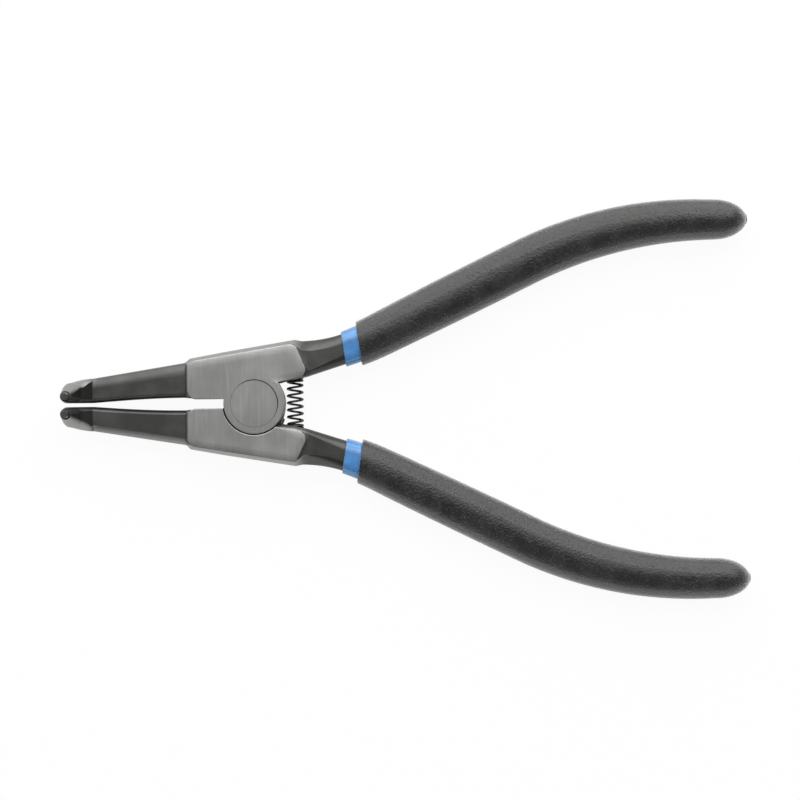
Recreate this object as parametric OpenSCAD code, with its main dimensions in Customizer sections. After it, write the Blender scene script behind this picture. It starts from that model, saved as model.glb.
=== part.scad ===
// External circlip pliers with tips bent upwards by 90 degrees.
// Two forged levers turn on a riveted lap joint, a coil spring holds the handles apart,
// and each handle is dipped twice: a blue undercoat, then a thicker black grip.
// Millimetres. The origin is on the pivot axis at the joint's underside, +X runs to the
// handles, +Y to the upper lever and +Z to the tips.

/* [Joint] */
// Thickness across both laps of the joint
joint_thickness = 9; // [8:0.5:12]
// Radius of each lever's lap disc
lap_radius = 7.3; // [6.8:0.1:8.2]
// Radial clearance between a lap disc and the hollow it turns in
lap_clearance = 0.25; // [0.1:0.05:0.5]
// Gap between the two lap faces
lap_gap = 0.1; // [0.05:0.05:0.3]
// Gap between the jaws beside the joint
jaw_gap = 2.2; // [1.6:0.1:3]

/* [Ground block] */
// From the pivot to the block's end on the jaw side
block_front = 15.9; // [14:0.1:20]
// From the pivot to the block's end on the handle side
block_back = 13.2; // [12.6:0.1:14]
// From the centre line to the block's outer edge at the jaw side
block_front_reach = 10.9; // [10.2:0.1:12]
// From the centre line to the block's outer edge at the handle side
block_back_reach = 15.1; // [14.2:0.1:16]
// Angle at which the block's handle-side edge leaves the lap disc
back_edge_angle = 41; // [36:1:45]
// Forged rim left outside the ground face
rim = 0.9; // [0.5:0.1:1.4]
// Forged rim left beside the spring on the upper lever
upper_back_rim = 0.15; // [0.1:0.05:1]
// Forged rim left beside the spring on the lower lever
lower_back_rim = 0.9; // [0.1:0.05:1.2]
// Height of the ground face above the forging
pad_step = 0.4; // [0.2:0.1:0.8]
// Corner radius of the ground face
pad_corner = 2.1; // [1:0.1:2.6]
// From the spring's axis to the ground face's outer corner
pad_past = 0.1; // [0:0.1:1]
// Swell of the upper lap disc where it runs into the block
upper_neck = 0.3; // [0.1:0.05:0.5]
// Swell of the lower lap disc where it runs into the block
lower_neck = 0.8; // [0.1:0.05:1]

/* [Jaws and tips] */
// From the pivot to the start of the tip's bend
arm_length = 38.6; // [34:0.1:46]
// From the centre line to the arm's outer edge at the block
arm_root_reach = 9.8; // [9:0.1:10.6]
// From the centre line to the arm's outer edge at the bend
arm_end_reach = 6.3; // [5.6:0.1:7.4]
// From the centre line to the arm's inner edge at the block
arm_relief = 1.5; // [1.1:0.1:2]
// Height of the block's forging above the arm's root
root_step = 0.3; // [0.1:0.05:0.6]
// Gap between the two tips at rest
tip_gap = 0.9; // [0.6:0.1:1.6]
// Thickness of the arm at the bend
arm_end_thickness = 5; // [4:0.1:6.4]
// Radius of the bend along the middle of the arm
bend_radius = 4.95; // [4:0.05:6.5]
// Width of the stem above the bend, across the arm
stem_width = 4.8; // [4:0.1:5.4]
// Thickness of the stem above the bend, along the arm
stem_thickness = 4.7; // [3.6:0.1:5]
// Height of the tip's taper above the bend
taper_height = 5; // [4:0.1:8]
// Diameter of the taper where it meets the pin
shoulder_diameter = 2.6; // [2.2:0.1:3.2]
// Diameter of the pin that enters the circlip's eye
pin_diameter = 1.8; // [1.3:0.1:2]
// Length of the pin
pin_length = 3; // [2:0.1:5]
// From the centre line to the pin's axis
pin_offset = 2.1; // [1.9:0.1:3]
// Forward shift of the pin's axis from the stem's middle
pin_lead = 0.65; // [0:0.05:0.8]

/* [Forged edges] */
// Width of the bevel along the arm's outer edge
arm_bevel = 1.8; // [1.2:0.1:2.4]
// Width of the bevel along the block's outer edge
block_bevel = 1; // [0.6:0.1:1.4]
// Width of the bevel along the shank's outer edge
shank_bevel = 2.4; // [1.6:0.1:3]
// Height of the bevels on the outer edges
bevel_height = 2.6; // [1.8:0.1:3.2]
// Width of the bevel along the inner edges
inner_bevel = 0.9; // [0.5:0.1:1.2]

/* [Rivet] */
// Diameter of the rivet's shank
rivet_diameter = 6.4; // [5:0.1:7.4]
// Diameter of the countersunk heads
rivet_head = 11.2; // [9.6:0.1:12]
// Height of the cylindrical rim of each head
rivet_head_rim = 0.5; // [0.3:0.1:1]
// Height of the cone below each head's rim
rivet_cone = 1.6; // [1:0.1:2.2]
// Radial running clearance in the upper lever
rivet_running = 0.05; // [0.02:0.01:0.1]
// Radial clearance in the lower lever, which the rivet is closed into
rivet_seat = 0.02; // [0.01:0.01:0.04]

/* [Handles] */
// From the pivot to the start of the shank's curve
shank_start = 12; // [11:0.1:13]
// From the centre line to the middle of the shank at its start
shank_reach = 10.5; // [9.8:0.1:11.2]
// Width of the shank at its start
shank_width = 8.6; // [7.8:0.1:9.2]
// Direction of the shank at its start
shank_angle = 9.4; // [6:0.1:12]
// Radius of the shank's outward curve
shank_radius = 66; // [50:1:90]
// Direction of the straight part of the handle
handle_angle = 25.9; // [22:0.1:29]
// Length of the straight part of the handle
handle_straight = 38.6; // [30:0.1:60]
// Radius of the handle's inward curve
handle_radius = 98; // [75:1:130]
// Straight end of the handle
handle_tail = 10.8; // [8:0.1:16]
// From the shank's start to the widest place of the handle
swell_at = 52; // [40:1:65]
// Width of the steel tang at its widest place
tang_width = 8.25; // [7:0.05:9]
// Width that the tang loses towards the joint
tang_taper = 0.9; // [0:0.1:1.6]
// Thickness of the steel tang
tang_thickness = 5.8; // [5:0.1:6.4]

/* [Dipped coats] */
// From the shank's start to the blue undercoat's edge
undercoat_start = 9.6; // [8:0.1:12]
// Length of the blue band left showing
band = 3.9; // [2:0.1:7]
// Thickness of the undercoat
undercoat = 0.55; // [0.4:0.05:0.9]
// Thickness of the black grip
overcoat = 0.85; // [0.6:0.05:1.4]
// Lean of the coats' edges, because the tool is dipped upright
dip_angle = 8.5; // [4:0.5:12]
// Vinyl beyond the end of the tang
end_cover = 5; // [3:0.1:7]
// Length of the grip's rounded nose
grip_nose = 7.6; // [5:0.1:9]

/* [Return spring] */
// Diameter of the spring wire
spring_wire = 0.55; // [0.4:0.05:0.7]
// Outside diameter of the coil
spring_diameter = 4.1; // [3.4:0.1:4.6]
// Open turns between the closed ends
spring_turns = 6; // [4:1:8]
// Closed turns at each end
spring_closed = 1.5; // [1:0.25:2]
// From the centre line to the floor of each spring pocket
spring_seat = 6.3; // [6.2:0.1:7.2]
// Gap between the coil and the lap disc
spring_gap = 0.3; // [0.2:0.05:0.8]
// Clearance round the coil in its pockets
pocket_clearance = 0.2; // [0.1:0.05:0.4]

/* [Hidden] */
$fn = 64;

// Overlap that makes cuts and unions clean
bite = 1;
// Clearance between the tang, the undercoat and the grip
coat_gap = 0.06;
// Depth to which the forging stays behind the ground faces at the jaw gap
tuck = 0.25;
// Steps in each rounded corner of a forged section
corner_steps = 4;
// Steps in each rounded corner of a ground face
pad_steps = 8;
// Bulge of the forged bevels, where 0 is flat and 1 is fully round
bulge = 0.5;
// Corner radius of the tang
tang_corner = 2.3;
// Share of the grip's section that is rounded
oval = 0.95;
// Length over which the arm swells into the block
swell = 1.5;
// Angle and steps over which a lap disc runs out into its neck
neck_angle = 42;
neck_steps = 6;
// Spacing of the sections along the handle
handle_step = 6;
// Length over which the sections turn from the dip's edge to square across the handle
untwist = 14;
// Chamfer at the tang's end
tang_nose = 1;
// Sides of the spring wire, and sections in each turn
wire_sides = 8;
turn_steps = 16;

mid = joint_thickness / 2;
blank = mid - pad_step;
spring_x = lap_radius + spring_gap + spring_diameter / 2;
pocket_radius = spring_diameter / 2 + pocket_clearance;
// Closed turns of the spring lie a hair apart
closed_pitch = spring_wire + coat_gap;

// Straight and curved runs of the handle's centre line, each a length and a curvature
handle_runs = [
    [shank_radius * (handle_angle - shank_angle) * PI / 180, 1 / shank_radius],
    [handle_straight, 0],
    [handle_radius * handle_angle * PI / 180, -1 / handle_radius],
    [handle_tail, 0]
];
handle_length = handle_runs[0][0] + handle_runs[1][0] + handle_runs[2][0] + handle_runs[3][0];
grip_start = undercoat_start + band;
tang_end = handle_length - end_cover - undercoat - overcoat;
grip_offset = 2 * coat_gap + undercoat + overcoat;

// A point and heading after a distance along a curve
function along(p, heading, curvature, distance) =
    curvature == 0
    ? [p[0] + distance * cos(heading), p[1] + distance * sin(heading), heading]
    : let (turned = heading + distance * curvature * 180 / PI)
        [p[0] + (sin(turned) - sin(heading)) / curvature,
         p[1] - (cos(turned) - cos(heading)) / curvature, turned];

// The handle's centre line, as x, y and heading at a distance from the shank's start
function handle_at(s, run = 0, p = [shank_start, shank_reach], heading = shank_angle) =
    let (length = handle_runs[run][0], curvature = handle_runs[run][1])
    run == len(handle_runs) - 1 || s <= length
    ? along(p, heading, curvature, s)
    : let (end = along(p, heading, curvature, length))
        handle_at(s - length, run + 1, [end[0], end[1]], end[2]);

// A corner is its width, its height and its bulge
function round_corner(r) = [r, r, 1];
inner_edge = [inner_bevel, inner_bevel * 1.5, bulge];
tang_edge = round_corner(tang_corner);

// A ring of points: a rectangle at a centre, on two axes, with its own corners on the
// outer and on the inner side
function ring(centre, u, v, half_u, half_v, outer, inner) =
    let (fit = min(1, (2 * half_u - 0.1) / (outer[0] + inner[0])))
    [for (q = [0:3], k = [0:corner_steps])
        let (t = k / corner_steps,
             su = q == 0 || q == 3 ? 1 : -1,
             sv = q < 2 ? 1 : -1,
             corner = su > 0 ? outer : inner,
             wide = corner[0] * fit,
             high = min(corner[1], half_v - 0.05),
             flat = [cos(90 * q), sin(90 * q)] * (1 - t) + [cos(90 * q + 90), sin(90 * q + 90)] * t,
             arc = [cos(90 * (q + t)), sin(90 * (q + t))],
             spot = flat + (arc - flat) * corner[2])
        centre + u * (su * (half_u - wide) + wide * spot[0])
            + v * (sv * (half_v - high) + high * spot[1])];

// A section of the arm or block, square across the tool
function slice(x, inner, outer, half, bevel) =
    ring([x, (inner + outer) / 2, mid], [0, 1, 0], [0, 0, 1],
        (outer - inner) / 2, half, [bevel, bevel_height, bulge], inner_edge);

// A section of the bend, turned up by an angle: round outside, one flat facet inside
function bent(turn, inner, outer, half) =
    let (t = turn / 90,
         far = bend_radius + half,
         near = 1 / (cos(turn) / (bend_radius - arm_end_thickness / 2)
             + sin(turn) / (bend_radius - stem_thickness / 2)),
         middle = (far + near) / 2,
         arm_edge = [arm_bevel, bevel_height, bulge],
         stem_edge = [stem_width * 0.6, stem_thickness / 2, 0.85])
    ring([-arm_length - middle * sin(turn), (inner + outer) / 2,
            mid + bend_radius - middle * cos(turn)],
        [0, 1, 0], [sin(turn), 0, cos(turn)], (outer - inner) / 2, (far - near) / 2,
        arm_edge + (stem_edge - arm_edge) * t, inner_edge);

// A round section of the tip's taper
function turned(x, y, z, r) =
    ring([x, y, z], [0, 1, 0], [1, 0, 0], r, r, round_corner(r), round_corner(r));

// A section of the handle, leaning with the coats' edges and then squaring up
function handle_ring(s, half_u, half_v, outer, inner) =
    let (p = handle_at(s),
         square = max(0, min(1, (s - grip_start) / untwist)),
         lean = dip_angle + (p[2] - dip_angle) * square)
    ring([p[0], p[1], mid], [-sin(lean), cos(lean), 0], [0, 0, 1],
        half_u / cos(p[2] - lean), half_v, outer, inner);

// A handle section with one radius, and one that is nearly oval
function tang_ring(s, half_u, half_v, r) =
    handle_ring(s, half_u, half_v, round_corner(r), round_corner(r));
function oval_ring(s, half_u, half_v) =
    let (corner = [half_u * oval, half_v * oval, 1])
    handle_ring(s, half_u, half_v, corner, corner);

// Half width of the steel along the handle
function tang_half(s) =
    let (from_swell = (s - swell_at) / (swell_at - grip_start))
    (tang_width - tang_taper * from_swell * from_swell) / 2;

// Blend between two values with level ends
function ease(a, b, t) = a + (b - a) * (1 - cos(180 * t)) / 2;

// Distances of the tang's sections, from a start to the tang's nose
function tang_stations(from) =
    let (last = tang_end - tang_nose, steps = ceil((last - from) / handle_step))
    [for (k = [0:steps]) from + (last - from) * k / steps];

// Rings round the tang, grown outwards by an offset, closed over the tang's nose
function coat_rings(from, offset) = concat(
    [for (s = tang_stations(from))
        tang_ring(s, tang_half(s) + offset, tang_thickness / 2 + offset, tang_corner + offset)],
    [tang_ring(tang_end + offset, tang_half(tang_end) - tang_nose + offset,
        tang_thickness / 2 - tang_nose + offset, tang_corner - tang_nose + offset)]);

// Rings of the grip's outside, ending in a rounded nose
function grip_rings() =
    let (from = handle_length - grip_nose,
         steps = ceil((from - grip_start) / handle_step),
         thick = tang_thickness / 2 + grip_offset)
    concat(
        [for (k = [0:steps - 1])
            let (s = grip_start + (from - grip_start) * k / steps)
            oval_ring(s, tang_half(s) + grip_offset, thick)],
        [for (a = [0, 25, 45, 60, 72, 82])
            let (s = from + grip_nose * sin(a), wide = tang_half(s) + grip_offset)
            oval_ring(s, wide * cos(a), thick * sqrt(cos(a)))]);

// A closed solid through rings of equal length
module skin(rings) {
    n = len(rings[0]);
    last = len(rings) - 1;
    polyhedron(
        points = [for (r = rings) for (p = r) p],
        faces = concat(
            [[for (j = [0:n - 1]) j]],
            [for (i = [0:last - 1], j = [0:n - 1])
                [i * n + j, (i + 1) * n + j, (i + 1) * n + (j + 1) % n]],
            [for (i = [0:last - 1], j = [0:n - 1])
                [i * n + j, (i + 1) * n + (j + 1) % n, i * n + (j + 1) % n]],
            [[for (j = [n - 1:-1:0]) last * n + j]]));
}

// Rings of one forging, from the tip's shoulder over the bend to the tang's nose
function forging_rings() =
    let (tip_in = tip_gap / 2,
         stem_x = -arm_length - bend_radius,
         stem_y = tip_in + stem_width / 2,
         stem_z = mid + bend_radius,
         arm_back = block_front + swell / 2,
         root = blank - root_step,
         shoulder = shoulder_diameter / 2,
         edge_slope = (block_back_reach - block_front_reach) / (block_front + spring_x),
         back = [for (x = [lap_radius * cos(back_edge_angle), spring_x])
             [x, back_edge(x), block_front_reach + edge_slope * (x + block_front)]])
    concat(
        [turned(stem_x - pin_lead, pin_offset, stem_z + taper_height, shoulder)],
        [for (turn = [90:-15:0])
            let (t = turn / 90)
            bent(turn, tip_in, ease(arm_end_reach, tip_in + stem_width, t),
                ease(arm_end_thickness, stem_thickness, t) / 2)],
        [for (k = [1:4])
            let (t = k / 4)
            slice(-arm_length + (arm_length - arm_back) * t,
                tip_in + (arm_relief - tip_in) * sin(90 * t),
                arm_end_reach + (arm_root_reach - arm_end_reach) * t,
                arm_end_thickness / 2 + (root - arm_end_thickness / 2) * t, arm_bevel)],
        [slice(-block_front - root_step, (arm_relief + jaw_gap / 2 + tuck) / 2,
            ease(arm_root_reach, block_front_reach, 0.4), root, arm_bevel),
         slice(-block_front, (arm_relief + jaw_gap / 2 + tuck) / 2,
            ease(arm_root_reach, block_front_reach, 0.5), blank, arm_bevel),
         slice(-block_front + swell / 2, jaw_gap / 2 + tuck, block_front_reach, blank, block_bevel),
         slice(-lap_radius, jaw_gap / 2 + tuck,
            block_front_reach + edge_slope * (block_front - lap_radius), blank, block_bevel)],
        [for (b = back) slice(b[0], b[1], b[2], blank, block_bevel)],
        [for (s = [0, undercoat_start / 3, undercoat_start * 2 / 3])
            let (t = s / undercoat_start, shank_edge = [shank_bevel, bevel_height, bulge])
            handle_ring(s, shank_width / 2 * (1 - t) * (1 - t)
                    + tang_half(undercoat_start) * (1 - (1 - t) * (1 - t)),
                ease(blank, tang_thickness / 2, t),
                shank_edge + (tang_edge - shank_edge) * t, inner_edge + (tang_edge - inner_edge) * t)],
        coat_rings(undercoat_start, 0));

// Height of the block's handle-side edge above the centre line
function back_edge(x) =
    let (x0 = lap_radius * cos(back_edge_angle), y0 = lap_radius * sin(back_edge_angle),
         y1 = shank_reach - shank_width / 2)
    y0 + (y1 - y0) * (x - x0) / (block_back - x0);

// Corner points of the ground face, each with its radius
function pad_corners(back_rim) =
    let (slope = (block_back_reach - block_front_reach) / (block_front + spring_x),
         outer = block_front_reach - rim,
         outer_back = spring_x + pad_past,
         inner_x = lap_radius / 2)
    [[-block_front, jaw_gap / 2, pad_corner],
     [0, jaw_gap / 2, 0],
     [inner_x, back_edge(inner_x) + back_rim, 0],
     [block_back, back_edge(block_back) + back_rim, pad_corner],
     [outer_back, outer + slope * (outer_back + block_front), pad_corner],
     [-block_front, outer, pad_corner]];

function unit(v) = v / norm(v);

// The outline through corner points, with each corner rounded to its radius
function rounded(corners) =
    let (n = len(corners))
    [for (i = [0:n - 1])
        let (c = corners[i], p = [c[0], c[1]], r = c[2],
             a = corners[(i + n - 1) % n], b = corners[(i + 1) % n],
             to_a = unit([a[0], a[1]] - p), to_b = unit([b[0], b[1]] - p),
             half = acos(to_a * to_b) / 2,
             centre = p + unit(to_a + to_b) * r / sin(half),
             from = p + to_a * r / tan(half) - centre,
             start = atan2(from[1], from[0]),
             side = to_a[0] * to_b[1] - to_a[1] * to_b[0] < 0 ? 1 : -1)
        each r == 0 ? [p]
            : [for (k = [0:pad_steps])
                let (turn = start + side * (180 - 2 * half) * k / pad_steps)
                centre + r * [cos(turn), sin(turn)]]];

// The rivet's outline turned about the pivot, grown by a clearance and past its faces
module rivet_body(clearance, past) {
    shank = rivet_diameter / 2 + clearance;
    head = rivet_head / 2 + clearance;
    low = rivet_head_rim + rivet_cone;
    rotate_extrude()
        polygon([
            [0, -past], [head, -past], [head, rivet_head_rim], [shank, low],
            [shank, joint_thickness - low], [head, joint_thickness - rivet_head_rim],
            [head, joint_thickness + past], [0, joint_thickness + past]]);
}

// Outline of a lap disc, swelling into its neck beside the spring
module lap_outline(neck) {
    circle(r = lap_radius);
    polygon(concat([[0, 0]],
        [for (k = [0:neck_steps])
            let (t = k / neck_steps, a = back_edge_angle + 6 - neck_angle * (1 - t))
            (lap_radius + neck * t * t) * [cos(a), sin(a)]]));
}

// Drilled pocket for one end of the spring
module spring_pocket() {
    translate([spring_x, 0, mid])
        rotate([-90, 0, 0])
            cylinder(r = pocket_radius, h = spring_seat);
}

// The pin that enters the circlip's eye
module tip_pin() {
    translate([-arm_length - bend_radius - pin_lead, pin_offset,
            mid + bend_radius + taper_height - bite])
        cylinder(d = pin_diameter, h = pin_length + bite);
}

// One forged lever on the +Y side, with its lap from lap_from to lap_to and the hollow for
// the other lever's lap from hollow_from to hollow_to
module lever(lap_from, lap_to, hollow_from, hollow_to, clearance, back_rim, neck) {
    difference() {
        union() {
            difference() {
                union() {
                    skin(forging_rings());
                    linear_extrude(joint_thickness) polygon(rounded(pad_corners(back_rim)));
                }
                translate([0, 0, hollow_from])
                    cylinder(r = lap_radius + lap_clearance, h = hollow_to - hollow_from);
            }
            translate([0, 0, lap_from]) linear_extrude(lap_to - lap_from) lap_outline(neck);
            tip_pin();
        }
        rivet_body(clearance, bite);
        spring_pocket();
    }
}

// The cup of one coat: in along its inside and out along its outside
module coat(inside, outside) {
    skin(concat([for (i = [len(inside) - 1:-1:0]) inside[i]], outside));
}

module undercoat_sleeve() {
    coat(coat_rings(undercoat_start, coat_gap), coat_rings(undercoat_start, coat_gap + undercoat));
}

module grip_sleeve() {
    coat(coat_rings(grip_start, 2 * coat_gap + undercoat), grip_rings());
}

module upper_lever() {
    color("dimgray")
        lever(mid + lap_gap / 2, joint_thickness, -bite, mid + lap_gap / 2,
            rivet_running, upper_back_rim, upper_neck);
}

module lower_lever() {
    color("dimgray")
        mirror([0, 1, 0])
            lever(0, mid - lap_gap / 2, mid - lap_gap / 2, joint_thickness + bite,
                rivet_seat, lower_back_rim, lower_neck);
}

module joint_rivet() {
    color("darkgray") rivet_body(0, 0);
}

module upper_undercoat() {
    color("royalblue") undercoat_sleeve();
}

module lower_undercoat() {
    color("royalblue") mirror([0, 1, 0]) undercoat_sleeve();
}

module upper_grip() {
    color("darkslategray") grip_sleeve();
}

module lower_grip() {
    color("darkslategray") mirror([0, 1, 0]) grip_sleeve();
}

// Height of the spring's wire above its lower end, after a number of turns
function spring_rise(turn, pitch) =
    let (open = max(0, min(turn - spring_closed, spring_turns)))
    closed_pitch * (turn - open) + pitch * open;

// Coil spring between the two pockets, closed at each end
module return_spring() {
    turns = spring_turns + 2 * spring_closed;
    length = 2 * (spring_seat - coat_gap) - spring_wire;
    pitch = (length - 2 * spring_closed * closed_pitch) / spring_turns;
    coil = (spring_diameter - spring_wire) / 2;
    steps = turns * turn_steps;
    color("dimgray")
        translate([spring_x, -length / 2, mid])
            skin([for (i = [0:steps])
                let (turn = i / turn_steps, a = 360 * turn, out = [cos(a), 0, -sin(a)])
                [for (j = [0:wire_sides - 1])
                    let (b = 360 * j / wire_sides)
                    out * (coil + spring_wire / 2 * cos(b))
                        + [0, spring_rise(turn, pitch) + spring_wire / 2 * sin(b), 0]]]);
}

lower_lever();
upper_lever();
joint_rivet();
return_spring();
lower_undercoat();
upper_undercoat();
lower_grip();
upper_grip();
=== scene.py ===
import bpy
import bmesh
import math
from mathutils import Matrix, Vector


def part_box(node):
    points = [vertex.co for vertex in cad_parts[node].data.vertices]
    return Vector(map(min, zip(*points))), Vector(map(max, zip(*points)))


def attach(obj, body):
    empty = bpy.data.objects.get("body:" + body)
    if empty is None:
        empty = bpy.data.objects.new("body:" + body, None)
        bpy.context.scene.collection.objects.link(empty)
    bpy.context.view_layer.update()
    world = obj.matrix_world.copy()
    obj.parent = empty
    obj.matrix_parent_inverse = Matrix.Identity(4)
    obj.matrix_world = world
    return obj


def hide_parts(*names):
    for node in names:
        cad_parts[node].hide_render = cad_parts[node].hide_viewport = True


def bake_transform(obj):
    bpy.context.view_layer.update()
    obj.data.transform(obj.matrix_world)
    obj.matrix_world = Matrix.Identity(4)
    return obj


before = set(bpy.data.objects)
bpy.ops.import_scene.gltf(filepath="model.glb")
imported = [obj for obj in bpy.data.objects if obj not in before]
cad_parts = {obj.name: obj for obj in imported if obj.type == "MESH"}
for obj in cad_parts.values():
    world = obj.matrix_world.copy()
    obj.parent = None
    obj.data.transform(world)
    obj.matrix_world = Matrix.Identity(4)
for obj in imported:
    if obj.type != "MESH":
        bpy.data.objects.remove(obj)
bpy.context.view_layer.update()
mm = 0.001
print("frame loaded:", ", ".join(sorted(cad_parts)))

# sizes below are in millimetres, as in the part; what the frame knows is read from it
rivetLow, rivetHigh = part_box("joint_rivet")
springLow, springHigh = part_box("return_spring")
mid = (rivetLow.z + rivetHigh.z) / 2 / mm
thick = (rivetHigh.z - rivetLow.z) / mm
springX = (springLow.x + springHigh.x) / 2 / mm
lowerBody, upperBody = "lower_half", "upper_half"


# node trees, written as sums

class Wire:                                    # a socket that can be added, multiplied and so on
    def __init__(self, tree, socket):
        self.tree = tree
        self.socket = socket

    def sum(self, operation, *others):
        node = self.tree.nodes.new("ShaderNodeMath")
        node.operation = operation
        for slot, value in zip(node.inputs, others):
            plug(self.tree, slot, value)
        return Wire(self.tree, node.outputs[0])

    def __add__(self, other):
        return self.sum("ADD", self, other)

    def __radd__(self, other):
        return self.sum("ADD", other, self)

    def __sub__(self, other):
        return self.sum("SUBTRACT", self, other)

    def __rsub__(self, other):
        return self.sum("SUBTRACT", other, self)

    def __mul__(self, other):
        return self.sum("MULTIPLY", self, other)

    def __rmul__(self, other):
        return self.sum("MULTIPLY", other, self)

    def __truediv__(self, other):
        return self.sum("DIVIDE", self, other)

    def __pow__(self, other):
        return self.sum("POWER", self, other)

    def least(self, other):
        return self.sum("MINIMUM", self, other)

    def most(self, other):
        return self.sum("MAXIMUM", self, other)

    def size(self):
        return self.sum("ABSOLUTE", self)

    def sine(self):
        return self.sum("SINE", self)

    def cosine(self):
        return self.sum("COSINE", self)


def plug(tree, slot, value):                   # a link, or a plain value on the socket itself
    if isinstance(value, Wire):
        tree.links.new(value.socket, slot)
    else:
        slot.default_value = value


class Sheet:                                   # a node tree that is written as code
    def __init__(self, tree):
        self.tree = tree

    def node(self, kind, settings=None, sockets=None):
        made = self.tree.nodes.new(kind)
        for name, value in (settings or {}).items():
            setattr(made, name, value)
        for name, value in (sockets or {}).items():
            plug(self.tree, made.inputs[name], value)
        return made

    def wire(self, node, output=0):
        return Wire(self.tree, node.outputs[output])

    def out(self, kind, settings=None, sockets=None, output=0):
        return self.wire(self.node(kind, settings, sockets), output)

    def place(self, stretch=(1, 1, 1), turn=(0, 0, 0)):
        here = self.out("ShaderNodeTexCoord", output="Object")
        return self.out("ShaderNodeMapping", None, {"Vector": here, "Scale": stretch, "Rotation": turn})

    def axis(self, letter):
        here = self.out("ShaderNodeTexCoord", output="Object")
        return self.out("ShaderNodeSeparateXYZ", None, {"Vector": here}, output=letter)

    def noise(self, scale, detail=3.0, rough=0.55, stretch=(1, 1, 1), turn=(0, 0, 0)):
        return self.out("ShaderNodeTexNoise", None, {
            "Vector": self.place(stretch, turn), "Scale": scale, "Detail": detail, "Roughness": rough})

    def step(self, value, low, high):          # 0 below low, 1 above high, eased between
        return self.out("ShaderNodeMapRange", {"interpolation_type": "SMOOTHSTEP"}, {
            "Value": value, "From Min": low, "From Max": high})

    def blend(self, amount, first, second):
        return self.out("ShaderNodeMix", {"data_type": "RGBA"}, {
            0: amount, 6: first, 7: second}, output=2)

    def bump(self, height, distance):
        return self.out("ShaderNodeBump", None, {"Height": height, "Distance": distance})


def newMaterial(name):
    made = bpy.data.materials.new(name)
    made.use_nodes = True
    return made, Sheet(made.node_tree), made.node_tree.nodes["Principled BSDF"]


def finishMaterial(sheet, shader, sockets):
    for name, value in sockets.items():
        plug(sheet.tree, shader.inputs[name], value)


# finishes: patterns are counted per metre, and relief is the height of the bump in millimetres

forgedLook = {
    "dark": (0.072, 0.072, 0.07, 1), "light": (0.098, 0.098, 0.095, 1), "bareAndHighlight": (0.37, 0.37, 0.36, 1),
    "cloud": 150, "grain": 2600, "fleck": (700, 1900, 1900), "rough": 0.36, "relief": 0.008}


def forgedFinish():                            # black skin, bare steel where the mesh's mask says: partly real wear, partly a painted highlight
    made, sheet, shader = newMaterial("blackForging")
    cloud = sheet.noise(forgedLook["cloud"], 4)
    grain = sheet.noise(forgedLook["grain"], 2)
    streak = sheet.noise(1.0, 4, 0.6, forgedLook["fleck"])   # drawn out along the arms
    fleck = sheet.step(streak, 0.3, 0.7)
    wearAndHighlight = sheet.out("ShaderNodeAttribute", {"attribute_name": "wearAndHighlight"}, output="Fac")
    skin = sheet.blend(sheet.step(cloud, 0.35, 0.7), forgedLook["dark"], forgedLook["light"])
    finishMaterial(sheet, shader, {
        # the bare steel is partly real wear and partly a painted highlight on outward sides, tips and the
        # block rim
        "Base Color": sheet.blend(wearAndHighlight * (0.92 + 0.14 * fleck), skin, forgedLook["bareAndHighlight"]),
        "Metallic": 0.95,
        "Roughness": forgedLook["rough"] + 0.1 * cloud + 0.06 * grain,
        "Normal": sheet.bump(grain + cloud * 2, forgedLook["relief"] * mm)})
    return made


groundLook = {
    "shade": (0.315, 0.313, 0.306, 1), "bright": (0.42, 0.417, 0.408, 1),
    "lines": (3600, 130, 130), "scratch": (1500, 45, 45), "scratchTurn": 0.05, "broad": 90,
    "seamShade": (0.02, 0.02, 0.019, 1), "seamRadius": 5.62, "seamCore": 0.03, "seamHalf": 0.2,
    "seamShadeSide": (0.6, 0.8), "rough": 0.34, "relief": 0.006}


def groundFinish(name, turn):
    made, sheet, shader = newMaterial(name)
    lines = sheet.noise(1.0, 4, 0.6, groundLook["lines"], (0, 0, turn))
    broad = sheet.noise(groundLook["broad"], 3)
    stroke = sheet.noise(1.0, 2, 0.5, groundLook["scratch"], (0, 0, turn + groundLook["scratchTurn"]))
    scratch = sheet.step(stroke, 0.62, 0.72)
    tone = sheet.step(broad * 0.6 + lines * 0.3 + scratch * 0.1, 0.3, 0.66)
    base = sheet.blend(tone, groundLook["shade"], groundLook["bright"])
    # painted shade of the narrow gap round the rivet, darker on one side
    x, y = sheet.axis("X"), sheet.axis("Y")
    radius = groundLook["seamRadius"] * mm
    away = ((x * x + y * y) ** 0.5 - radius).size()
    line = 1 - sheet.step(away, groundLook["seamCore"] * mm, groundLook["seamHalf"] * mm)
    sideX, sideY = groundLook["seamShadeSide"]
    side = sheet.step((x * sideX + y * sideY) / radius, -0.1, 0.7)
    finishMaterial(sheet, shader, {
        # the dark seam colour is painted shade in place of the gap's own shadow
        "Base Color": sheet.blend(line * (0.12 + 0.85 * side), base, groundLook["seamShade"]),
        "Metallic": 1.0,
        "Roughness": groundLook["rough"] + 0.1 * lines + 0.08 * broad,
        "Normal": sheet.bump(lines + scratch * 0.5, groundLook["relief"] * mm)})
    return made


vinylLook = {
    "dark": (0.003, 0.003, 0.003, 1), "pale": (0.014, 0.014, 0.013, 1),
    "pebble": 2100, "grain": 2300, "wave": 900, "patch": 210, "rough": 0.15, "relief": 0.15}


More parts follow.
